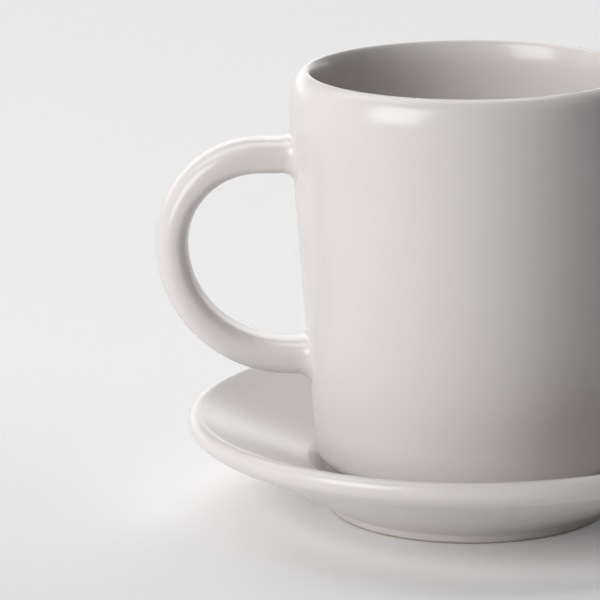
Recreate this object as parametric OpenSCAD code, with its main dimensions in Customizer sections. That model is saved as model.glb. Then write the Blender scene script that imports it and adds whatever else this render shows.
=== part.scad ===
// Espresso cup with a strap handle, standing in the well of its saucer.
// Origin: centre of the saucer's foot on the table. +Z up, handle towards -X, all sizes in millimetres.

/* [Cup] */
// Outer radius of the cup just under its lip
cup_mouth_r = 30.05; // [28:0.05:34]
// Outer radius where the flank would meet the plane of the base
cup_base_r = 25.85; // [23:0.05:28]
// How far the flank swells out of a straight cone, half way up
cup_crown = 0.15; // [0:0.05:0.8]
// Height of the cup from its foot ring to the crest of its lip
cup_h = 68.4; // [62:0.1:80]
// Thickness of the wall
cup_wall_t = 4.15; // [3.4:0.05:5]
// Thickness of the floor
cup_floor_t = 3.65; // [2.5:0.05:6]
// Radius of the rounded edge between the flank and the base
cup_edge_r = 3; // [2:0.05:5]
// Radius of the round between the floor and the wall, inside
cup_floor_round_r = 7; // [3:0.1:10]
// Height of the foot ring under the base
cup_foot_h = 1.36; // [0.6:0.02:1.6]
// Width of the foot ring
cup_foot_w = 3; // [2:0.1:5]
// How far the foot ring stands in from the rounded edge
cup_foot_inset = 0.6; // [0.3:0.1:3]

/* [Lip of the cup] */
// Height of the upright band between the flank and the lip
lip_band = 3.1; // [1:0.1:6]
// Height over which the lip rolls inwards on its outer side
lip_drop = 5; // [3:0.1:8]
// Width of that roll, up to the crest
lip_out = 2.85; // [1.5:0.05:3.1]
// Height over which the lip rolls over on its inner side
lip_in_drop = 4.5; // [2:0.1:6]

/* [Handle] */
// Height of the upper arm's centre line above the cup's foot
handle_top_h = 54.6; // [48:0.1:56]
// Height between the centre lines of the upper and the lower arm
handle_drop = 34.4; // [30:0.1:38]
// How far the handle stands out from the wall, beside its upper arm
handle_out = 23.1; // [20:0.1:30]
// Straight length of the upper arm, from the wall to the shoulder
handle_top_run = 5.7; // [3:0.1:8]
// Straight length of the lower arm, from the wall to the sweep
handle_low_run = 2.9; // [2.8:0.1:5]
// Thickness of the strap
handle_t = 5.6; // [4:0.05:7]
// Width of the strap
handle_w = 10.2; // [7:0.1:13]
// Radius of the fillet where the handle meets the wall
handle_fillet_r = 2.2; // [1:0.1:2.6]

/* [Saucer] */
// Outer radius of the saucer
saucer_r = 47.7; // [44:0.1:56]
// Height of the saucer from the table to the crest of its lip
saucer_h = 17.05; // [15:0.05:21]
// Radius of the rolled lip
saucer_lip_r = 1.55; // [1.1:0.05:2]
// How far the dish sags under a straight cone
saucer_sag = 0.3; // [0:0.05:0.8]
// Thickness of the floor under the well
saucer_floor_t = 4.3; // [3.5:0.1:6]
// Height of the recess inside the foot ring
saucer_recess_h = 2.4; // [1.5:0.1:3.5]
// Outer radius of the foot ring where it meets the table
saucer_foot_r = 23.8; // [21:0.1:26]
// Width of the foot ring
saucer_foot_w = 3; // [2:0.1:5]
// Height of the foot ring's outer side
saucer_foot_h = 1.6; // [1:0.1:2.4]
// How far the foot ring's outer side leans out over its height
saucer_foot_lean = 0.6; // [0:0.1:1]

/* [Well of the saucer] */
// Gap around the base of the cup at the edge of the well
well_gap = 1.7; // [1:0.05:3]
// Depth of the well
well_depth = 2.2; // [1:0.1:2.4]
// Width of the well's sloping side
well_side_w = 3; // [2:0.1:3.4]
// Radius of the soft fold at the edge of the well
well_fold_r = 1.2; // [0.8:0.1:3]

/* [Hidden] */
$fn = 96;

// Colours of the two glazed pieces and the handle
cup_colour = [0.87, 0.86, 0.84];
handle_colour = [0.82, 0.80, 0.79];
saucer_colour = [0.84, 0.83, 0.81];

// Steps along a rounded corner, the saucer's lip, a long curve of a profile, a quarter of the handle, its
// fillet and its section
corner_steps = 5;
lip_steps = 10;
curve_steps = 8;
sweep_steps = 15;
fillet_steps = 5;
strap_steps = 32;

// Small rounds of the foot rings, the well's floor and the recess
foot_round_r = 0.3;
saucer_foot_round_r = 0.6;
saucer_under_round_r = 1.2;
recess_round_r = 1;
well_floor_round_r = 1.2;

// How far the underside of the saucer bows in from a straight cone
saucer_bow = 0.22;
// Angle through which the saucer's lip rolls, from its widest point to the dish
lip_roll_angle = 118;
// The lip's underside starts this far in from and below the lip's centre, in lip radii
lip_under_shares = [0.484, 1.806];
// Reach of the lip's underside towards each of its ends, in lip radii
lip_handle_shares = [0.774, 0.839];
// Share of the handle's drop that the shoulder takes
shoulder_share = 0.4244;
// Outward share of the strap's thickness, from its widest line to the loop's outer side
strap_outer_share = 0.58;
// Squareness of the strap's section on the arms and at the loop's farthest point; 2 is an ellipse
strap_square_shares = [3.2, 2.2];
// Share of the fillet that is left on an arm's upper side
fillet_top_share = 0.45;
// Angle up to which the handle's fillet is drawn before it runs straight into the wall
fillet_angle = 75;
// How far the handle's blank runs into the wall before it is cut to the wall's face
handle_bite = 3;

// Heights on the cup, from its foot ring
cup_floor_z = cup_foot_h + cup_floor_t;
lip_z = cup_h - lip_drop;
flank_top_z = lip_z - lip_band;
flank_h = flank_top_z - cup_foot_h;

// Radii of the lip's crest and of its inner side
lip_crest_r = cup_mouth_r - lip_out;
lip_in = cup_wall_t - lip_out;
mouth_in_r = cup_mouth_r - cup_wall_t;

// Foot ring of the cup
cup_foot_r = cup_base_r - cup_edge_r - cup_foot_inset;
cup_foot_in_r = cup_foot_r - cup_foot_w;

// Well of the saucer, which takes the base of the cup
well_r = cup_base_r + well_gap;
well_floor_r = well_r - well_side_w;
well_floor_z = saucer_recess_h + saucer_floor_t;
well_edge_z = well_floor_z + well_depth;

// Lip and foot ring of the saucer
saucer_lip_cr = saucer_r - saucer_lip_r;
saucer_lip_z = saucer_h - saucer_lip_r;
saucer_foot_in_r = saucer_foot_r - saucer_foot_w;
saucer_foot_top = [saucer_foot_r + saucer_foot_lean, saucer_foot_h];
lip_under = [saucer_lip_cr - saucer_lip_r * lip_under_shares[0],
    saucer_lip_z - saucer_lip_r * lip_under_shares[1]];

// Outer radius of the cup's flank at a height above its foot ring
function flank_r(z) =
    let (s = (z - cup_foot_h) / flank_h)
    cup_base_r + (cup_mouth_r - cup_base_r) * s + 4 * cup_crown * s * (1 - s);

// Centre line of the handle
handle_top_wall_r = flank_r(handle_top_h);
handle_low_h = handle_top_h - handle_drop;
handle_low_wall_r = flank_r(handle_low_h);
handle_far_r = handle_top_wall_r + handle_out - handle_t / 2;
shoulder_h = handle_drop * shoulder_share;
shoulder_w = handle_far_r - handle_top_wall_r - handle_top_run;
sweep_h = handle_drop - shoulder_h;
sweep_w = handle_far_r - handle_low_wall_r - handle_low_run;
handle_far_z = handle_top_h - shoulder_h;

// Unit vector along v
function unit(v) = v / norm(v);

// Points of an elliptical arc about a centre, from one angle to another
function arc(centre, rx, rz, from, to, steps) =
    [for (i = [0:steps]) let (a = from + (to - from) * i / steps) centre + [rx * cos(a), rz * sin(a)]];

// Points of the round with radius r at corner b between a and c
function corner(a, b, c, r) =
    let (u = unit(a - b), v = unit(c - b), half = acos(u * v) / 2)
    let (m = b + unit(u + v) * r / sin(half), s = b + u * r / tan(half) - m, e = b + v * r / tan(half) - m)
    let (from = atan2(s.y, s.x), turn = atan2(e.y, e.x) - from)
    let (to = from + (turn > 180 ? turn - 360 : turn < -180 ? turn + 360 : turn))
    arc(m, r, r, from, to, corner_steps);

// Points of a smooth curve that leaves p along p_way and reaches q against q_way
function curve(p, p_way, q, q_way, steps) =
    [for (i = [0:steps]) let (t = i / steps, k = 1 - t)
        p * k * k * k + (p + p_way) * 3 * k * k * t + (q + q_way) * 3 * k * t * t + q * t * t * t];

// Points of a line from p to q without its ends, bowed up by rise half way along
function bowed(p, q, rise, steps) =
    [for (i = [1:steps - 1]) let (s = i / steps) p + (q - p) * s + [0, 4 * rise * s * (1 - s)]];

// Outer profile of the cup from the edge of its foot ring to the crest of its lip
flank_points = [for (i = [1:curve_steps]) let (z = cup_foot_h + flank_h * i / curve_steps) [flank_r(z), z]];
cup_outside = concat(
    corner([cup_foot_in_r, 0], [cup_foot_r, 0], [cup_foot_r, cup_foot_h], foot_round_r),
    [[cup_foot_r, cup_foot_h]],
    corner([cup_foot_r, cup_foot_h], [cup_base_r, cup_foot_h], flank_points[0], cup_edge_r),
    flank_points,
    arc([lip_crest_r, lip_z], lip_out, lip_drop, 0, 90, curve_steps)
);

// Inner profile of the cup from the crest of its lip to the round of its floor
inner_points = [for (i = [curve_steps:-1:1])
    let (p = flank_points[i - 1])
    if (p.y > cup_floor_z + cup_floor_round_r && p.y < cup_h - lip_in_drop) [p.x - cup_wall_t, p.y]];
cup_inside = concat(
    arc([lip_crest_r, cup_h - lip_in_drop], lip_in, lip_in_drop, 90, 180, curve_steps),
    inner_points,
    corner(inner_points[len(inner_points) - 1], [flank_r(cup_floor_z) - cup_wall_t, cup_floor_z],
        [0, cup_floor_z], cup_floor_round_r)
);

// Underside of the cup inside its foot ring
cup_recess = concat(
    [[0, cup_foot_h], [cup_foot_in_r, cup_foot_h]],
    corner([cup_foot_in_r, cup_foot_h], [cup_foot_in_r, 0], [cup_foot_r, 0], foot_round_r)
);

// Underside of the saucer from its axis to the widest point of its lip
saucer_under_line = bowed(saucer_foot_top, lip_under, saucer_bow, curve_steps);
saucer_under = concat(
    [[0, saucer_recess_h]],
    corner([0, saucer_recess_h], [saucer_foot_in_r, saucer_recess_h], [saucer_foot_in_r, 0], recess_round_r),
    corner([saucer_foot_in_r, saucer_recess_h], [saucer_foot_in_r, 0], [saucer_foot_r, 0], foot_round_r),
    corner([saucer_foot_in_r, 0], [saucer_foot_r, 0], saucer_foot_top, saucer_foot_round_r),
    corner([saucer_foot_r, 0], saucer_foot_top, saucer_under_line[0], saucer_under_round_r),
    saucer_under_line,
    curve(lip_under, unit(lip_under - saucer_foot_top) * saucer_lip_r * lip_handle_shares[0],
        [saucer_r, saucer_lip_z], [0, -saucer_lip_r * lip_handle_shares[1]], corner_steps)
);

// Upper side of the saucer from the top of its lip to the axis
saucer_lip_points = arc([saucer_lip_cr, saucer_lip_z], saucer_lip_r, saucer_lip_r, 0, lip_roll_angle,
    lip_steps);
saucer_dish_line = bowed(saucer_lip_points[lip_steps], [well_r, well_edge_z], -saucer_sag, curve_steps);
saucer_top = concat(
    [for (i = [1:lip_steps]) saucer_lip_points[i]],
    saucer_dish_line,
    corner(saucer_dish_line[len(saucer_dish_line) - 1], [well_r, well_edge_z],
        [well_floor_r, well_floor_z], well_fold_r),
    corner([well_r, well_edge_z], [well_floor_r, well_floor_z], [0, well_floor_z], well_floor_round_r),
    [[0, well_floor_z]]
);

// Section of the strap, as places across its thickness and its width; bend is 0 on an arm and 1 at the
// loop's farthest point. Near the wall it grows by g, less on the upper side; side is 1 on the upper arm,
// -1 on the lower
function strap(g, bend, side) =
    let (power = 2 / (strap_square_shares[0] + (strap_square_shares[1] - strap_square_shares[0]) * bend))
    [for (i = [0:strap_steps - 1])
        let (c = cos(360 * i / strap_steps), s = sin(360 * i / strap_steps))
        let (grow = g * (1 + (fillet_top_share - 1) * (1 + side * c) / 2))
        let (reach = handle_t * (c > 0 ? strap_outer_share : 1 - strap_outer_share) + grow)
        [handle_t * (1 / 2 - strap_outer_share) + reach * sign(c) * pow(abs(c), power),
            (handle_w / 2 + grow) * sign(s) * pow(abs(s), power)]];

// One ring of the handle on a quarter ellipse about [-cr, handle_far_z], at angle a
function bend_ring(cr, w, h, a) =
    let (n = unit([cos(a) / w, sin(a) / h]))
    [for (p = strap(0, abs(cos(a)), 0))
        [w * cos(a) - cr + n.x * p.x, p.y, handle_far_z + h * sin(a) + n.y * p.x]];

// One ring of an arm at distance d from the wall, grown by g; side is 1 on the upper arm, -1 on the lower
function arm_ring(z, side, d, g) =
    [for (p = strap(g, 0, side))
        let (h = z + side * p.x) [-sqrt(flank_r(h) * flank_r(h) - p.y * p.y) - d, p.y, h]];

// Flat ring that ends an arm inside the wall
function end_ring(z, side) =
    let (g = handle_fillet_r * (1 - cos(fillet_angle)))
    [for (p = strap(g, 0, side)) [handle_bite - flank_r(z), p.y, z + side * p.x]];

// Rings of the fillet between an arm and the wall, from the wall outwards
function fillet_rings(z, side) =
    [for (i = [fillet_steps:-1:0]) let (q = fillet_angle * i / fillet_steps)
        arm_ring(z, side, handle_fillet_r * (1 - sin(q)), handle_fillet_r * (1 - cos(q)))];

// The rings in reverse order
function reversed(rings) = [for (i = [len(rings) - 1:-1:0]) rings[i]];

handle_rings = concat(
    [end_ring(handle_top_h, 1)],
    fillet_rings(handle_top_h, 1),
    [for (i = [0:sweep_steps])
        bend_ring(handle_far_r - shoulder_w, shoulder_w, shoulder_h, 90 + 90 * i / sweep_steps)],
    [for (i = [1:sweep_steps])
        bend_ring(handle_far_r - sweep_w, sweep_w, sweep_h, 180 + 90 * i / sweep_steps)],
    reversed(fillet_rings(handle_low_h, -1)),
    [end_ring(handle_low_h, -1)]
);

// Closed solid through rings of points, with a flat cap at each end
module swept(rings) {
    n = len(rings[0]);
    last = len(rings) - 1;
    sides = [for (i = [0:last - 1], k = [0:n - 1])
        let (a = i * n + k, b = i * n + (k + 1) % n) each [[a, b, b + n], [a, b + n, a + n]]];
    first_cap = [for (k = [n - 1:-1:0]) k];
    last_cap = [for (k = [0:n - 1]) last * n + k];
    polyhedron(points = [for (ring = rings) each ring], faces = concat([first_cap, last_cap], sides));
}

// The cup without its hollow, which cuts the handle to the wall's face
module cup_blank() {
    rotate_extrude() polygon(concat([[0, 0]], cup_outside, [[0, cup_h]]));
}

module cup_body() {
    color(cup_colour)
        translate([0, 0, well_floor_z])
            rotate_extrude() polygon(concat(cup_recess, cup_outside, cup_inside, [[0, cup_floor_z]]));
}

module cup_handle() {
    color(handle_colour)
        translate([0, 0, well_floor_z])
            difference() {
                swept(handle_rings);
                cup_blank();
            }
}

module saucer() {
    color(saucer_colour)
        rotate_extrude() polygon(concat(saucer_under, saucer_top));
}

cup_body();
cup_handle();
saucer();
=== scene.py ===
"""Espresso cup with saucer, dressed around its packed construction model.

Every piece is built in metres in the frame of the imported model: the origin is the centre of the
saucer's foot on the table, +Z is up and the handle points towards -X.
"""
import logging
import math
from dataclasses import dataclass, field
from enum import Enum
from typing import Callable, Iterable, Optional, Sequence, Union

import bpy
from mathutils import Matrix, Vector


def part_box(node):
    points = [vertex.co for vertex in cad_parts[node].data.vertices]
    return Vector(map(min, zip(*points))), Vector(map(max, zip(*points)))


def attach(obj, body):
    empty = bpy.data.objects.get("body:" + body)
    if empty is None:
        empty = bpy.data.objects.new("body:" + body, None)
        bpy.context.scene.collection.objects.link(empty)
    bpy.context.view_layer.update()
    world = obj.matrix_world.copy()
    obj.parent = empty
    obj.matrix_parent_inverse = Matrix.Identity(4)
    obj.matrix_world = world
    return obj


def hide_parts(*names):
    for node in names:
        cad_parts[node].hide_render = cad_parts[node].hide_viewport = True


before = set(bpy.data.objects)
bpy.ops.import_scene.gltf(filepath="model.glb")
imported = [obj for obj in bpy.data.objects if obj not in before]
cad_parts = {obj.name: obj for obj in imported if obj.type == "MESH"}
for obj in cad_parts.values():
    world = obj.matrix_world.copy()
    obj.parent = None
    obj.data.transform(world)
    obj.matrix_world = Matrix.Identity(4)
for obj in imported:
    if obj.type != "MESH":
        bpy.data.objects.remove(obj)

LOG = logging.getLogger("espresso_cup")
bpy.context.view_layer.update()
MM = 0.001
TINY = 1e-6

Pair = tuple[float, float]
Place = Pair
Colour = tuple[float, float, float]

WHITE: Colour = (1.0, 1.0, 1.0)


class Body(Enum):
    """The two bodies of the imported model."""

    SAUCER = "saucer"
    CUP = "cup"


class Node(Enum):
    """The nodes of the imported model, which the dressed pieces replace."""

    CUP = "cup_body"
    HANDLE = "cup_handle"
    SAUCER = "saucer"


class Slot(Enum):
    """Names of the pieces' material slots, which this script does not use."""

    CUP = "cup_glaze"
    HANDLE = "handle_glaze"
    SAUCER = "saucer_glaze"


class Arm(Enum):
    """The two arms of the handle; the value is the side of the loop's outside, up or down."""

    UPPER = 1
    LOWER = -1


def deselect_all() -> None:
    """Leaves object mode with nothing selected."""
    if bpy.context.mode != "OBJECT":
        bpy.ops.object.mode_set(mode="OBJECT")
    bpy.ops.object.select_all(action="DESELECT")


def unit(run: float, rise: float) -> Pair:
    """Returns a direction of length 1.

    Args:
        run: The first part of the direction.
        rise: The second part of the direction.

    Returns:
        The direction, scaled to length 1.
    """
    size = math.hypot(run, rise)
    return run / size, rise / size


@dataclass(frozen=True)
class Pattern:
    """Sizes of a noise pattern.

    The size is the width of its largest features, in metres. The detail is the number of its finer layers,
    and the roughness is how strong each of them is. It rises softly from 0 to 1 between its two limits.
    """

    size: float
    detail: float = 2.0
    roughness: float = 0.5
    limits: Pair = (0.0, 1.0)


@dataclass
class Outline:
    """Half section of a turned piece: places (radius, height) in order along its surface."""

    places: list[Place] = field(default_factory=list)
    pace: float = 1.2 * MM

    def add(self, places: Iterable[Place]) -> "Outline":
        """Appends places, leaving out one that repeats the last.

        Args:
            places: The places to append.

        Returns:
            The outline itself.
        """
        for place in places:
            if not self.places or math.dist(place, self.places[-1]) > TINY:
                self.places.append(place)
        return self

    def line(self, radius: float, height: float) -> "Outline":
        """Draws a straight stretch from the last place.

        Args:
            radius: Radius of the stretch's end.
            height: Height of the stretch's end.

        Returns:
            The outline itself.
        """
        r0, z0 = self.places[-1]
        steps = max(1, math.ceil(math.hypot(radius - r0, height - z0) / self.pace))
        return self.add(
            (r0 + (radius - r0) * i / steps, z0 + (height - z0) * i / steps) for i in range(1, steps + 1)
        )

    def follow(self, rule: Callable[[float], Place], steps: int) -> "Outline":
        """Draws a stretch given by a rule.

        Args:
            rule: Gives the place for a share from 0 to 1 of the stretch.
            steps: Number of steps along the stretch.

        Returns:
            The outline itself.
        """
        return self.add(rule(i / steps) for i in range(steps + 1))

    def arc(self, centre: Place, radii: Pair, start: float, end: float, steps: int) -> "Outline":
        """Draws an elliptical arc.

        Args:
            centre: Centre of the arc.
            radii: Half width and half height of the ellipse.
            start: Angle of the first place, in degrees.
            end: Angle of the last place, in degrees.
            steps: Number of steps along the arc.

        Returns:
            The outline itself.
        """

        def rule(share: float) -> Place:
            """Returns the place at a share of the arc."""
            angle = math.radians(start + (end - start) * share)
            return centre[0] + radii[0] * math.cos(angle), centre[1] + radii[1] * math.sin(angle)

        return self.follow(rule, steps)

    def corner(self, at: Place, onward: Place, radius: float, steps: int = 8) -> "Outline":
        """Draws a straight stretch towards a corner, and the round there.

        Args:
            at: The sharp corner.
            onward: A place further on, towards which the outline leaves the corner.
            radius: Radius of the round.
            steps: Number of steps along the round.

        Returns:
            The outline itself.
        """
        back = unit(self.places[-1][0] - at[0], self.places[-1][1] - at[1])
        away = unit(onward[0] - at[0], onward[1] - at[1])
        half = math.acos(back[0] * away[0] + back[1] * away[1]) / 2
        middle = unit(back[0] + away[0], back[1] + away[1])
        centre = tuple(at[k] + middle[k] * radius / math.sin(half) for k in (0, 1))
        reach = radius / math.tan(half)
        first = math.atan2(at[1] + back[1] * reach - centre[1], at[0] + back[0] * reach - centre[0])
        last = math.atan2(at[1] + away[1] * reach - centre[1], at[0] + away[0] * reach - centre[0])
        turn = (last - first + math.pi) % math.tau - math.pi
        self.line(at[0] + back[0] * reach, at[1] + back[1] * reach)
        start = math.degrees(first)
        return self.arc(centre, (radius, radius), start, start + math.degrees(turn), steps)

    def bend(self, leave: Pair, arrive: Pair, end: Place, steps: int = 12) -> "Outline":
        """Draws a smooth curve from the last place.

        Args:
            leave: Step in which the curve leaves its start.
            arrive: Step from the end back to the place that the curve comes from.
            end: End of the curve.
            steps: Number of steps along the curve.

        Returns:
            The outline itself.
        """
        start = self.places[-1]

        def rule(share: float) -> Place:
            """Returns the place at a share of the curve."""
            rest = 1 - share
            return tuple(
                rest**3 * start[k]
                + 3 * rest**2 * share * (start[k] + leave[k])
                + 3 * rest * share**2 * (end[k] + arrive[k])
                + share**3 * end[k]
                for k in (0, 1)
            )

        return self.follow(rule, steps)

    def bow(self, end: Place, rise: float) -> "Outline":
        """Draws a shallow bow from the last place.

        Args:
            end: End of the bow.
            rise: Height of the bow above the straight line, half way along.

        Returns:
            The outline itself.
        """
        start = self.places[-1]
        steps = math.ceil(math.dist(start, end) / self.pace)
        return self.follow(
            lambda s: (
                start[0] + (end[0] - start[0]) * s,
                start[1] + (end[1] - start[1]) * s + 4 * rise * s * (1 - s),
            ),
            steps,
        )

    def turn(self, name: str, steps: int) -> bpy.types.Object:
        """Turns the outline about the vertical axis, as on a wheel.

        Args:
            name: Name of the piece.
            steps: Number of steps round the axis.

        Returns:
            The piece, smooth shaded, with its place in its mesh.
        """
        deselect_all()
        bpy.ops.mesh.primitive_plane_add(size=MM, location=(self.places[0][0], 0, self.places[0][1]))
        piece = bpy.context.object
        piece.name = piece.data.name = name
        bpy.ops.object.transform_apply(location=True, rotation=True, scale=True)
        bpy.ops.object.mode_set(mode="EDIT")
        bpy.ops.mesh.select_all(action="SELECT")
        bpy.ops.mesh.merge(type="CENTER")
        for (r0, z0), (r1, z1) in zip(self.places, self.places[1:]):
            bpy.ops.mesh.extrude_vertices_move(TRANSFORM_OT_translate={"value": (r1 - r0, 0, z1 - z0)})
        bpy.ops.mesh.select_all(action="SELECT")
        bpy.ops.mesh.spin(steps=steps, angle=math.tau, center=(0, 0, 0), axis=(0, 0, 1))
        finish_mesh()
        return piece


def finish_mesh() -> None:
    """Closes the seams of the piece in edit mode, turns its faces outwards and shades it smooth."""
    bpy.ops.mesh.select_all(action="SELECT")
    bpy.ops.mesh.remove_doubles(threshold=TINY)
    bpy.ops.mesh.normals_make_consistent(inside=False)
    bpy.ops.object.mode_set(mode="OBJECT")
    bpy.ops.object.shade_smooth()
    deselect_all()


class Shade:
    """A value in a material: a socket of a node, with the operators of sums."""

    def __init__(self, bench: "Bench", socket: bpy.types.NodeSocket) -> None:
        """Wraps a socket of a bench's material."""
        self.bench = bench
        self.socket = socket

    def math(self, operation: str, *others: "Term") -> "Shade":
        """Returns the result of a Math node that takes this value first.

        Args:
            operation: The node's operation.
            others: The node's further values.

        Returns:
            The node's result.
        """
        inputs = dict(enumerate((self, *others)))
        return self.bench.node("ShaderNodeMath", {"operation": operation}, inputs)

    def __add__(self, other: "Term") -> "Shade":
        """Returns self + other."""
        return self.math("ADD", other)

    __radd__ = __add__

    def __sub__(self, other: "Term") -> "Shade":
        """Returns self - other."""
        return self.math("SUBTRACT", other)

    def __rsub__(self, other: float) -> "Shade":
        """Returns other - self."""
        return self.math("MULTIPLY", -1.0) + other

    def __mul__(self, other: "Term") -> "Shade":
        """Returns self * other."""
        return self.math("MULTIPLY", other)

    __rmul__ = __mul__

    def rise(self, low: float, high: float) -> "Shade":
        """Returns a soft step, 0 below low and 1 above high.

        Args:
            low: Value at which the step starts.
            high: Value at which the step is done.

        Returns:
            The step, from 0 to 1.
        """
        return self.bench.node(
            "ShaderNodeMapRange",
            {"interpolation_type": "SMOOTHSTEP"},
            {"Value": self, "From Min": low, "From Max": high},
        )


Term = Union[Shade, float]
Fill = Union[Shade, float, Sequence[float], bpy.types.NodeSocket]


class Bench:
    """A node tree, with one method that adds nodes to it."""

    def __init__(self, owner: Union[bpy.types.Material, bpy.types.World]) -> None:
        """Clears the node tree of a material or a world.

        Args:
            owner: The material or the world.
        """
        owner.use_nodes = True
        self.tree = owner.node_tree
        self.tree.nodes.clear()

    def add(
        self,
        kind: str,
        settings: Optional[dict[str, object]] = None,
        inputs: Optional[dict[Union[str, int], Fill]] = None,
    ) -> bpy.types.Node:
        """Adds a node.

        Args:
            kind: The node's type.
            settings: The node's properties, set first.
            inputs: Values or links of its input sockets, by name or number.

        Returns:
            The node.
        """
        made = self.tree.nodes.new(kind)
        for key, value in (settings or {}).items():
            setattr(made, key, value)
        for key, value in (inputs or {}).items():
            if isinstance(value, Shade):
                self.tree.links.new(value.socket, made.inputs[key])
            else:
                made.inputs[key].default_value = value
        return made

    def node(
        self,
        kind: str,
        settings: Optional[dict[str, object]] = None,
        inputs: Optional[dict[Union[str, int], Fill]] = None,
        output: Union[str, int] = 0,
    ) -> Shade:
        """Adds a node and returns one of its outputs.

        Args:
            kind: The node's type.
            settings: The node's properties, set first.
            inputs: Values or links of its input sockets, by name or number.
            output: The output socket to return.

        Returns:
            The chosen output of the node.
        """
        return Shade(self, self.add(kind, settings, inputs).outputs[output])

    def place(self) -> Shade:
        """Returns the place on the piece."""
        return self.node("ShaderNodeTexCoord", output="Object")

    def seen(self) -> Shade:
        """Tells the rays that see the surface from those that take its light.

        Returns:
            1 where the camera, a reflection or a glass sees the surface, and 0 for its light.
        """
        rays = ("Is Camera Ray", "Is Glossy Ray", "Is Transmission Ray")
        camera, glossy, glass = (self.node("ShaderNodeLightPath", output=ray) for ray in rays)
        return camera.math("MAXIMUM", glossy).math("MAXIMUM", glass)

    def axis(self, number: int) -> Shade:
        """Returns one part of the place on the piece: 0 for X, 1 for Y, 2 for Z."""
        return self.node("ShaderNodeSeparateXYZ", None, {0: self.place()}, output=number)

    def noise(self, pattern: Pattern) -> Shade:
        """Adds a noise pattern fixed to the piece.

        Args:
            pattern: The pattern's sizes.

        Returns:
            The pattern, about 0 to 1.
        """
        return self.node(
            "ShaderNodeTexNoise",
            None,
            {
                "Vector": self.place(),
                "Scale": 1 / pattern.size,
                "Detail": pattern.detail,
                "Roughness": pattern.roughness,
            },
        )

    def blend(self, share: Term, first: Fill, second: Fill) -> Shade:
        """Mixes two colours.

        Args:
            share: Share of the second colour.
            first: Colour at share 0.
            second: Colour at share 1.

        Returns:
            The mixed colour.
        """
        colours = [(*c, 1.0) if isinstance(c, tuple) else c for c in (first, second)]
        return self.node(
            "ShaderNodeMix",
            {"data_type": "RGBA"},
            {0: share, 6: colours[0], 7: colours[1]},
            output=2,
        )


@dataclass(frozen=True)
class BareClay:
    """Unglazed stoneware, wiped clean where a piece stands."""

    colour: Colour = (0.52, 0.46, 0.40)
    dark: Colour = (0.40, 0.35, 0.30)
    roughness: float = 0.82
    grain: Pattern = Pattern(0.35 * MM, 4.0, 0.7, (0.35, 0.65))
    relief: float = 0.05


@dataclass(frozen=True)
class SatinGlaze:
    """Warm light grey satin glaze over stoneware, bare clay up to a line near the foot.

    The clay line is a height above the table, and without one the piece is glazed all over.
    """

    name: str
    clay_line: float = -1.0
    colour: Colour = (0.702, 0.669, 0.645)
    pooled: Colour = (0.677, 0.644, 0.621)
    thin: Colour = (0.721, 0.688, 0.664)
    roughness: float = 0.22
    roughness_spread: float = 0.02
    refraction: float = 1.45
    cloud: Pattern = Pattern(28 * MM, 3.0, 0.55, (0.25, 0.75))
    mottle: Pattern = Pattern(2.4 * MM, 3.0, 0.6, (0.3, 0.7))
    peel: Pattern = Pattern(1.1 * MM)
    cloud_share: float = 0.7
    mottle_share: float = 0.15
    plain_share: float = 0.6
    relief: float = 0.012
    relief_strength: float = 0.12
    line_waves: Pair = (0.5 * MM, 0.25 * MM)
    line_blur: float = 0.12 * MM
    clay: BareClay = BareClay()

    def make(self) -> bpy.types.Material:
        """Builds the material.

        Returns:
            The glaze, with the clay where the piece stands.
        """
        material = bpy.data.materials.new(self.name)
        bench = Bench(material)
        cloud, mottle, peel = (bench.noise(pattern) for pattern in (self.cloud, self.mottle, self.peel))
        grain = bench.noise(self.clay.grain)
        line = bench.axis(2) + (cloud - 0.5) * self.line_waves[0] + (mottle - 0.5) * self.line_waves[1]
        glazed = line.rise(self.clay_line - self.line_blur, self.clay_line + self.line_blur)
        depth = (
            cloud.rise(*self.cloud.limits) * self.cloud_share
            + mottle.rise(*self.mottle.limits) * self.mottle_share
        )
        glaze = bench.blend(self.plain_share, bench.blend(depth, self.pooled, self.thin), self.colour)
        clay = bench.blend(grain.rise(*self.clay.grain.limits), self.clay.dark, self.clay.colour)
        rough = glazed * (self.roughness - self.clay.roughness) + self.clay.roughness
        height = (peel + mottle) * glazed * self.relief + grain * (1 - glazed) * self.clay.relief
        bump = {"Strength": self.relief_strength, "Distance": MM, "Height": height}
        surface = bench.node(
            "ShaderNodeBsdfPrincipled",
            None,
            {
                "Base Color": bench.blend(glazed, clay, glaze),
                "Roughness": rough + (mottle - 0.5) * self.roughness_spread,
                "Normal": bench.node("ShaderNodeBump", None, bump),
                "IOR": self.refraction,
            },
        )
        bench.add("ShaderNodeOutputMaterial", None, {"Surface": surface})
        return material


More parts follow.
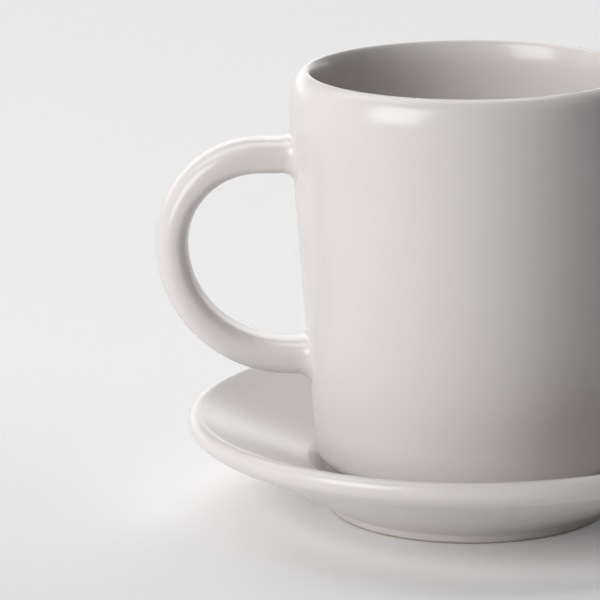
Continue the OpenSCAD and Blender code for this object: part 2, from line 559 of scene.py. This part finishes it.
@dataclass
class Cup:
    """The turned cup: a slightly swelling flank, a rolled lip and a low foot ring."""

    foot_z: float
    height: float
    mouth_r: float
    base_r: float = 25.85 * MM
    crown: float = 0.15 * MM
    wall: float = 4.15 * MM
    floor: float = 3.65 * MM
    edge_r: float = 3.0 * MM
    edge_run: float = 1.0 * MM
    floor_round_r: float = 7.0 * MM
    foot_h: float = 1.36 * MM
    foot_w: float = 3.0 * MM
    foot_inset: float = 0.6 * MM
    foot_round_r: float = 0.3 * MM
    foot_root_r: float = 0.15 * MM
    lip_band: float = 3.1 * MM
    lip_drop: float = 5.0 * MM
    lip_out: float = 2.85 * MM
    lip_in_drop: float = 4.5 * MM
    clay_h: float = 0.45 * MM
    round_steps: int = 16
    lip_steps: int = 24
    turn_steps: int = 192

    @classmethod
    def from_frame(cls) -> "Cup":
        """Takes the cup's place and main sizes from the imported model."""
        low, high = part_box(Node.CUP.value)
        return cls(foot_z=low.z, height=high.z - low.z, mouth_r=high.x)

    @property
    def flank_top(self) -> float:
        """Height of the flank's top above the foot."""
        return self.height - self.lip_drop - self.lip_band

    def flank_r(self, height: float) -> float:
        """Outer radius of the flank.

        Args:
            height: Height above the cup's foot.

        Returns:
            The radius there.
        """
        share = (height - self.foot_h) / (self.flank_top - self.foot_h)
        swell = 4 * self.crown * share * (1 - share)
        return self.base_r + (self.mouth_r - self.base_r) * share + swell

    def flank_place(self, share: float, inset: float, low: float) -> Place:
        """Place on the flank or on its inner side.

        Args:
            share: Share of the way up from the low height to the flank's top.
            inset: Distance in from the outer side.
            low: Height above the foot at share 0.

        Returns:
            The place, with its height above the table.
        """
        height = low + (self.flank_top - low) * share
        return self.flank_r(height) - inset, self.foot_z + height

    def outline(self) -> Outline:
        """Draws the cup's half section from the middle of its underside to the middle of its floor.

        Returns:
            The outline.
        """
        z = self.foot_z
        base_z = z + self.foot_h
        floor_z = base_z + self.floor
        foot_out = self.base_r - self.edge_r - self.foot_inset
        foot_in = foot_out - self.foot_w
        crest_r = self.mouth_r - self.lip_out
        lip_in = self.wall - self.lip_out
        lip_z, lip_in_z = z + self.height - self.lip_drop, z + self.height - self.lip_in_drop
        flank_low = self.foot_h + self.edge_r + self.edge_run
        inner_low = self.foot_h + self.floor + self.floor_round_r
        first = self.flank_place(0, 0, flank_low)
        out = Outline([(0.0, base_z)])
        steps = math.ceil((self.flank_top - flank_low) / out.pace)
        out.corner((foot_in, base_z), (foot_in, z), self.foot_round_r)
        out.corner((foot_in, z), (foot_out, z), self.foot_round_r)
        out.corner((foot_out, z), (foot_out, base_z), self.foot_round_r)
        out.corner((foot_out, base_z), (self.base_r, base_z), self.foot_root_r)
        out.corner((self.base_r, base_z), first, self.edge_r, self.round_steps)
        out.follow(lambda s: self.flank_place(s, 0, flank_low), steps)
        out.line(self.mouth_r, lip_z)
        out.arc((crest_r, lip_z), (self.lip_out, self.lip_drop), 0, 90, self.lip_steps)
        out.arc((crest_r, lip_in_z), (lip_in, self.lip_in_drop), 90, 180, self.round_steps)
        out.line(self.mouth_r - self.wall, z + self.flank_top)
        out.follow(lambda s: self.flank_place(1 - s, self.wall, inner_low), steps)
        low_corner = (self.flank_r(floor_z - z) - self.wall, floor_z)
        out.corner(low_corner, (0.0, floor_z), self.floor_round_r, self.round_steps)
        return out.line(0.0, floor_z)

    def build(self) -> bpy.types.Object:
        """Models the cup and puts it on its body.

        Returns:
            The finished piece.
        """
        piece = self.outline().turn("cup_shell", self.turn_steps)
        piece.data.materials.append(SatinGlaze("cup_satin_glaze", self.foot_z + self.clay_h).make())
        return mount(piece, Body.CUP, Node.CUP)


@dataclass(frozen=True)
class Stop:
    """A place on the handle's centre line, where its sweep has a ring.

    The tilt is the angle of the loop's outward side about Y, in degrees. The bend is 0 on an arm and 1 at
    the loop's farthest point. The gap is the distance out from the wall, for a stop on an arm.
    """

    place: Vector
    tilt: float
    bend: float = 0.0
    gap: Optional[float] = None


@dataclass
class Handle:
    """The strap handle: two straight arms, a shoulder and a sweep, flared where they meet the wall."""

    cup: Cup
    far_x: float
    top_z: float = 54.6 * MM
    drop: float = 34.4 * MM
    shoulder_h: float = 14.6 * MM
    top_run: float = 5.7 * MM
    low_run: float = 2.9 * MM
    thick: float = 5.6 * MM
    width: float = 10.2 * MM
    outer_share: float = 0.58
    arm_square: float = 3.2
    bend_square: float = 2.2
    flare_r: float = 2.2 * MM
    flare_top_share: float = 0.45
    flare_start: float = math.radians(3)
    seam: float = 0.02 * MM
    bite: float = 1.0 * MM
    ring_slack: float = 0.01 * MM
    section_steps: int = 56
    bend_steps: int = 40
    flare_steps: int = 10
    run_steps: int = 5

    @classmethod
    def from_frame(cls, cup: Cup) -> "Handle":
        """Takes the handle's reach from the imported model.

        Args:
            cup: The cup that carries the handle.

        Returns:
            The handle.
        """
        low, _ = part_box(Node.HANDLE.value)
        return cls(cup=cup, far_x=low.x)

    def arm(self, arm: Arm) -> list[Stop]:
        """Works out the stops of an arm, from inside the wall outwards.

        Args:
            arm: The arm.

        Returns:
            Its stops.
        """
        height = self.top_z if arm is Arm.UPPER else self.top_z - self.drop
        run = self.top_run if arm is Arm.UPPER else self.low_run
        gaps = [-self.bite, -self.seam]
        for i in range(self.flare_steps + 1):
            angle = self.flare_start + (math.pi / 2 - self.flare_start) * i / self.flare_steps
            gaps.append(self.flare_r * (1 - math.cos(angle)))
        for i in range(1, self.run_steps + 1):
            gaps.append(self.flare_r + (run - self.flare_r) * i / self.run_steps)
        wall_x, z = -self.cup.flank_r(height), self.cup.foot_z + height
        return [Stop(Vector((wall_x - gap, 0, z)), arm.value * 90.0 % 360, gap=gap) for gap in gaps]

    def loop(self) -> list[Stop]:
        """Works out the stops of the shoulder and the sweep, between the two arms.

        Returns:
            The stops, without those at the arms' ends.
        """
        far = self.far_x + self.thick / 2
        low_z = self.top_z - self.drop
        top_x = -self.cup.flank_r(self.top_z) - self.top_run
        low_x = -self.cup.flank_r(low_z) - self.low_run
        middle_z = self.cup.foot_z + self.top_z - self.shoulder_h
        stops = []
        for begin, centre_x, height in (
            (90.0, top_x, self.shoulder_h),
            (180.0, low_x, self.drop - self.shoulder_h),
        ):
            width = centre_x - far
            for i in range(1, self.bend_steps + 1):
                angle = math.radians(begin + 90.0 * i / self.bend_steps)
                place = Vector((centre_x + width * math.cos(angle), 0, middle_z + height * math.sin(angle)))
                tilt = math.degrees(math.atan2(math.sin(angle) / height, math.cos(angle) / width)) % 360
                stops.append(Stop(place, tilt, abs(math.cos(angle))))
        return stops[:-1]

    def sweep(self, stops: Sequence[Stop]) -> bpy.types.Object:
        """Extrudes a round blank along the centre line.

        Args:
            stops: The stops from the upper root to the lower root.

        Returns:
            The blank.
        """
        deselect_all()
        bpy.ops.mesh.primitive_circle_add(
            vertices=self.section_steps,
            radius=self.thick / 2,
            fill_type="NGON",
            location=stops[0].place,
            rotation=(0, math.radians(90), 0),
        )
        piece = bpy.context.object
        piece.name = piece.data.name = "strap_handle"
        bpy.ops.object.transform_apply(location=True, rotation=True, scale=True)
        bpy.ops.object.mode_set(mode="EDIT")
        bpy.ops.mesh.select_all(action="SELECT")
        for here, there in zip(stops, stops[1:]):
            bpy.ops.mesh.extrude_region_move(TRANSFORM_OT_translate={"value": there.place - here.place})
            if abs(there.tilt - here.tilt) > TINY:
                bpy.ops.transform.rotate(
                    value=math.radians(there.tilt - here.tilt), orient_axis="Y", center_override=there.place
                )
        finish_mesh()
        return piece

    def grown(self, gap: Optional[float]) -> float:
        """Growth of the section near the wall.

        Args:
            gap: Distance out from the wall, on an arm.

        Returns:
            The growth on each side.
        """
        if gap is None or gap >= self.flare_r:
            return 0.0
        depth = 1 - max(gap, 0.0) / self.flare_r
        return self.flare_r * (1 - math.sqrt(1 - depth * depth))

    def section(self, angle: float, stop: Stop) -> Pair:
        """Place on the strap's section, a soft oblong that is rounder on the bend than on the arms.

        Args:
            angle: Angle about the centre line, from the loop's outward side.
            stop: The stop.

        Returns:
            The place across the strap's thickness and along its width.
        """
        power = 2 / (self.arm_square + (self.bend_square - self.arm_square) * stop.bend)
        across, along = math.cos(angle), math.sin(angle)
        share = self.outer_share if across > 0 else 1 - self.outer_share
        top = 0.5 + 0.5 * across * math.sin(math.radians(stop.tilt))
        grow = self.grown(stop.gap) * (1 + (self.flare_top_share - 1) * top)
        ridge = self.thick * (0.5 - self.outer_share)
        return (
            ridge + math.copysign(abs(across) ** power, across) * (self.thick * share + grow),
            math.copysign(abs(along) ** power, along) * (self.width / 2 + grow),
        )

    def shape(self, piece: bpy.types.Object, stops: Sequence[Stop]) -> None:
        """Gives each ring of the blank its section, and bends the arms' ends to the wall's curve.

        Args:
            piece: The blank.
            stops: Its stops.
        """
        for vertex in piece.data.vertices:
            stop = stops[vertex.index // self.section_steps]
            tilt = math.radians(stop.tilt)
            outward = Vector((math.cos(tilt), 0.0, math.sin(tilt)))
            spoke = vertex.co - stop.place
            if abs(spoke.length - self.thick / 2) > self.ring_slack:
                raise ValueError("a ring of the handle's blank is out of order")
            across, along = self.section(math.atan2(spoke.y, spoke.dot(outward)), stop)
            vertex.co = stop.place + outward * across + Vector((0.0, along, 0.0))
            if stop.gap is not None:
                radius = self.cup.flank_r(vertex.co.z - self.cup.foot_z)
                run = self.top_run if outward.z > 0 else self.low_run
                fade = 1 - max(stop.gap, 0.0) / run
                seat = -math.sqrt(radius * radius - along * along) - stop.place.x - stop.gap
                vertex.co.x += seat * fade * fade * (3 - 2 * fade)
        piece.data.update()

    def build(self) -> bpy.types.Object:
        """Models the handle and puts it on the cup's body.

        Returns:
            The finished piece.
        """
        stops = self.arm(Arm.UPPER) + self.loop() + self.arm(Arm.LOWER)[::-1]
        piece = self.sweep(stops)
        self.shape(piece, stops)
        piece.data.materials.append(SatinGlaze("handle_satin_glaze").make())
        return mount(piece, Body.CUP, Node.HANDLE)


@dataclass
class Saucer:
    """The turned saucer: a rolled lip, a dish, a well for the cup and a foot ring.

    The lip's underside starts in from and below the lip's centre by lip_under, and reaches towards its two
    ends by lip_reach, all in lip radii.
    """

    radius: float
    height: float
    well_z: float
    base_r: float
    lip_r: float = 1.55 * MM
    lip_roll: float = 118.0
    sag: float = 0.3 * MM
    bow: float = 0.22 * MM
    recess_h: float = 2.4 * MM
    foot_r: float = 23.8 * MM
    foot_w: float = 3.0 * MM
    foot_h: float = 1.6 * MM
    foot_lean: float = 0.6 * MM
    well_gap: float = 1.7 * MM
    well_depth: float = 2.2 * MM
    well_side: float = 3.0 * MM
    fold_r: float = 1.2 * MM
    well_round_r: float = 1.2 * MM
    recess_round_r: float = 1.0 * MM
    foot_round_r: Pair = (0.3 * MM, 0.6 * MM)
    under_round_r: float = 1.2 * MM
    lip_under: Pair = (0.484, 1.806)
    lip_reach: Pair = (0.774, 0.839)
    clay_h: float = 0.45 * MM
    lip_steps: int = 24
    turn_steps: int = 256

    @classmethod
    def from_frame(cls, cup: Cup) -> "Saucer":
        """Takes the saucer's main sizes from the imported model.

        Args:
            cup: The cup that stands in the well.

        Returns:
            The saucer.
        """
        _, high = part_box(Node.SAUCER.value)
        return cls(radius=high.x, height=high.z, well_z=cup.foot_z, base_r=cup.base_r)

    def outline(self) -> Outline:
        """Draws the saucer's half section from the middle of its underside to the middle of its well.

        Returns:
            The outline.
        """
        lip_cr, lip_z = self.radius - self.lip_r, self.height - self.lip_r
        foot_in = self.foot_r - self.foot_w
        foot_top = (self.foot_r + self.foot_lean, self.foot_h)
        under = (lip_cr - self.lip_under[0] * self.lip_r, lip_z - self.lip_under[1] * self.lip_r)
        slope = unit(under[0] - foot_top[0], under[1] - foot_top[1])
        well_r = self.base_r + self.well_gap
        edge = (well_r, self.well_z + self.well_depth)
        well_in = (well_r - self.well_side, self.well_z)
        out = Outline([(0.0, self.recess_h)])
        out.corner((foot_in, self.recess_h), (foot_in, 0.0), self.recess_round_r)
        out.corner((foot_in, 0.0), (self.foot_r, 0.0), self.foot_round_r[0])
        out.corner((self.foot_r, 0.0), foot_top, self.foot_round_r[1])
        out.corner(foot_top, under, self.under_round_r)
        out.bow(under, self.bow)
        leave, arrive = (share * self.lip_r for share in self.lip_reach)
        out.bend((slope[0] * leave, slope[1] * leave), (0.0, -arrive), (self.radius, lip_z))
        out.arc((lip_cr, lip_z), (self.lip_r, self.lip_r), 0, self.lip_roll, self.lip_steps)
        dish = Outline([out.places[-1]]).bow(edge, -self.sag).places
        out.add(place for place in dish if place[0] > well_r + self.fold_r)
        out.corner(edge, well_in, self.fold_r)
        out.corner(well_in, (0.0, self.well_z), self.well_round_r)
        return out.line(0.0, self.well_z)

    def build(self) -> bpy.types.Object:
        """Models the saucer and puts it on its body.

        Returns:
            The finished piece.
        """
        piece = self.outline().turn("saucer_dish", self.turn_steps)
        piece.data.materials.append(SatinGlaze("saucer_satin_glaze", self.clay_h).make())
        return mount(piece, Body.SAUCER, Node.SAUCER)


def mount(piece: bpy.types.Object, body: Body, node: Node) -> bpy.types.Object:
    """Puts a piece on its body, in place of its node.

    Args:
        piece: The finished piece.
        body: The body that it rides on.
        node: The node that it replaces.

    Returns:
        The piece.
    """
    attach(piece, body.value)
    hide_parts(node.value)
    return piece


@dataclass(frozen=True)
class Softbox:
    """An upright softbox that points at the cup.

    The side is its angle to the left of the camera and the lift its angle above the table. Its span is the
    width and the height that it takes up, seen from the cup. All are in degrees, and the power in watts.
    The aim is the Y and the Z of the place that it points at, and the distance is measured from there.
    """

    name: str
    side: float
    lift: float
    span: Pair
    power: float
    distance: float = 4.0
    aim: Pair = (0.0, 0.04)

    def hang(self, turn: float) -> None:
        """Adds the lamp.

        Args:
            turn: Angle from the camera's side of the cup to the -Y side, in radians.
        """
        side, lift = math.radians(self.side) + turn, math.radians(self.lift)
        way = Vector((-math.sin(side) * math.cos(lift), -math.cos(side) * math.cos(lift), math.sin(lift)))
        across = Vector((math.cos(side), -math.sin(side), 0.0))
        aim = Vector((0.0, *self.aim))
        bpy.ops.object.light_add(type="AREA", location=aim + way * self.distance)
        lamp = bpy.context.object
        lamp.name = self.name
        lamp.data.shape = "RECTANGLE"
        lamp.data.size, lamp.data.size_y = (
            2 * self.distance * math.tan(math.radians(angle / 2)) for angle in self.span
        )
        lamp.data.energy = self.power
        lamp.rotation_euler = Matrix((across, way.cross(across), way)).transposed().to_euler()


@dataclass
class Studio:
    """The pale floor, the softboxes, the surroundings and the camera.

    Each fade is the pair of places between which a colour changes: for the floor's front and back, where a
    painted shade darkens the seen floor, metres behind the cup's axis, and for its bounce, which a painted
    shade darkens to the right, metres to the right of it. The backdrop's two are parts of the direction in
    which it is seen.
    """

    handle_turn: float = 0.095
    distance: float = 654.39 * MM
    eye_height: float = 195.98 * MM
    heading: float = -0.0437
    pitch: float = 0.2402
    roll: float = 0.0096
    lens: float = 240.0
    film_width: float = 36.0
    floor_size: float = 12.0
    # Painted shade: the seen floor darkens from white in the middle to these greys at the front and the
    # back, as falling light would make it.
    shaded_floor_front: Colour = (0.84, 0.84, 0.84)
    floor_middle: Colour = WHITE
    shaded_floor_back: Colour = (0.96, 0.96, 0.96)
    front_fade: Pair = (-0.06, 0.12)
    back_fade: Pair = (0.2, 0.7)
    floor_glow: float = 0.065
    # Painted shade in the bounce: to the right of the cup the floor throws back a dark, violet-tinted light,
    # as floor lying in shade would.
    bounce_left: Colour = (0.95, 0.95, 0.95)
    shaded_bounce_right: Colour = (0.10, 0.08, 0.15)
    bounce_fade: Pair = (0.02, 0.18)
    surround_light: float = 0.06
    surround_tint: Colour = (1.0, 0.96, 1.06)
    surround_seen: float = 0.65
    backdrop_seen: float = 0.75
    backdrop_rise: Pair = (0.10, 0.50)
    backdrop_reach: Pair = (-0.2, 0.6)
    lamps: tuple[Softbox, ...] = (
        Softbox("key_lamp", 48.5, 24.0, (33.0, 42.0), 136.0),
        Softbox("back_lamp", -177.0, 11.0, (105.0, 16.0), 40.0),
        Softbox("top_lamp", 150.0, 62.0, (60.0, 40.0), 86.0),
    )

    def camera(self) -> bpy.types.Object:
        """Adds the camera where the photographer stood.

        Returns:
            The camera.
        """
        heading = self.heading + self.handle_turn
        forward = Vector(
            (
                math.sin(heading) * math.cos(self.pitch),
                math.cos(heading) * math.cos(self.pitch),
                -math.sin(self.pitch),
            )
        )
        level = Vector((math.cos(heading), -math.sin(heading), 0.0))
        down = forward.cross(level)
        right = math.cos(self.roll) * level + math.sin(self.roll) * down
        up = math.sin(self.roll) * level - math.cos(self.roll) * down
        back = -self.distance
        bpy.ops.object.camera_add(
            location=(back * math.sin(self.handle_turn), back * math.cos(self.handle_turn), self.eye_height)
        )
        camera = bpy.context.object
        camera.rotation_euler = Matrix((right, up, -forward)).transposed().to_euler()
        camera.data.sensor_width = self.film_width
        camera.data.lens = self.lens
        bpy.context.scene.camera = camera
        return camera

    def floor(self) -> bpy.types.Object:
        """Adds the pale floor, with painted shade: seen, it darkens towards the front and the back, and its
        bounce colour, a painted dark shade on the side away from the key lamp, throws less light back there.

        A faint glow, seen but giving no light, keeps it as pale as the photographer's paper.

        Returns:
            The floor.
        """
        deselect_all()
        bpy.ops.mesh.primitive_plane_add(size=self.floor_size)
        floor = bpy.context.object
        floor.name = "floor"
        paper = bpy.data.materials.new("floor_paper")
        bench = Bench(paper)
        depth = bench.axis(1)
        # Painted shade: the seen floor darkens towards the front and the back.
        pale = bench.blend(depth.rise(*self.front_fade), self.shaded_floor_front, self.floor_middle)
        pale = bench.blend(depth.rise(*self.back_fade), pale, self.shaded_floor_back)
        # Painted shade: the floor's bounce colour turns dark violet towards the right.
        bounce = bench.blend(bench.axis(0).rise(*self.bounce_fade), self.bounce_left, self.shaded_bounce_right)
        colour = bench.blend(bench.seen(), bounce, pale)
        lit = bench.node("ShaderNodeBsdfDiffuse", None, {"Color": colour})
        glow = bench.node("ShaderNodeEmission", None, {"Strength": bench.seen() * self.floor_glow})
        surface = bench.node("ShaderNodeAddShader", None, {0: lit, 1: glow})
        bench.add("ShaderNodeOutputMaterial", None, {"Surface": surface})
        floor.data.materials.append(paper)
        return floor

    def surroundings(self) -> None:
        """Sets the dim surroundings, seen pale in reflections, most of all low behind the cup."""
        world = bpy.data.worlds.new("studio")
        bpy.context.scene.world = world
        bench = Bench(world)
        way = bench.node("ShaderNodeTexCoord", output="Generated")
        back, up = (bench.node("ShaderNodeSeparateXYZ", None, {0: way}, output=k) for k in (1, 2))
        backdrop = back.rise(*self.backdrop_reach) * (1 - up.rise(*self.backdrop_rise))
        seen = backdrop * (self.backdrop_seen - self.surround_seen) + self.surround_seen
        strength = bench.seen() * (seen - self.surround_light) + self.surround_light
        colour = bench.blend(bench.seen(), self.surround_tint, WHITE)
        glow = bench.node("ShaderNodeBackground", None, {"Color": colour, "Strength": strength})
        bench.add("ShaderNodeOutputWorld", None, {"Surface": glow})

    def build(self) -> None:
        """Sets up the floor, the softboxes, the surroundings and the camera."""
        self.floor()
        for softbox in self.lamps:
            softbox.hang(self.handle_turn)
        self.surroundings()
        self.camera()
        bpy.context.scene.view_settings.view_transform = "Standard"


def main() -> None:
    """Builds the studio and the three pieces."""
    logging.basicConfig(level=logging.INFO, format="%(name)s: %(message)s")
    Studio().build()
    cup = Cup.from_frame()
    pieces = [cup.build(), Handle.from_frame(cup).build(), Saucer.from_frame(cup).build()]
    for piece in pieces:
        LOG.info("%s: %d faces", piece.name, len(piece.data.polygons))


if __name__ == "__main__":
    main()
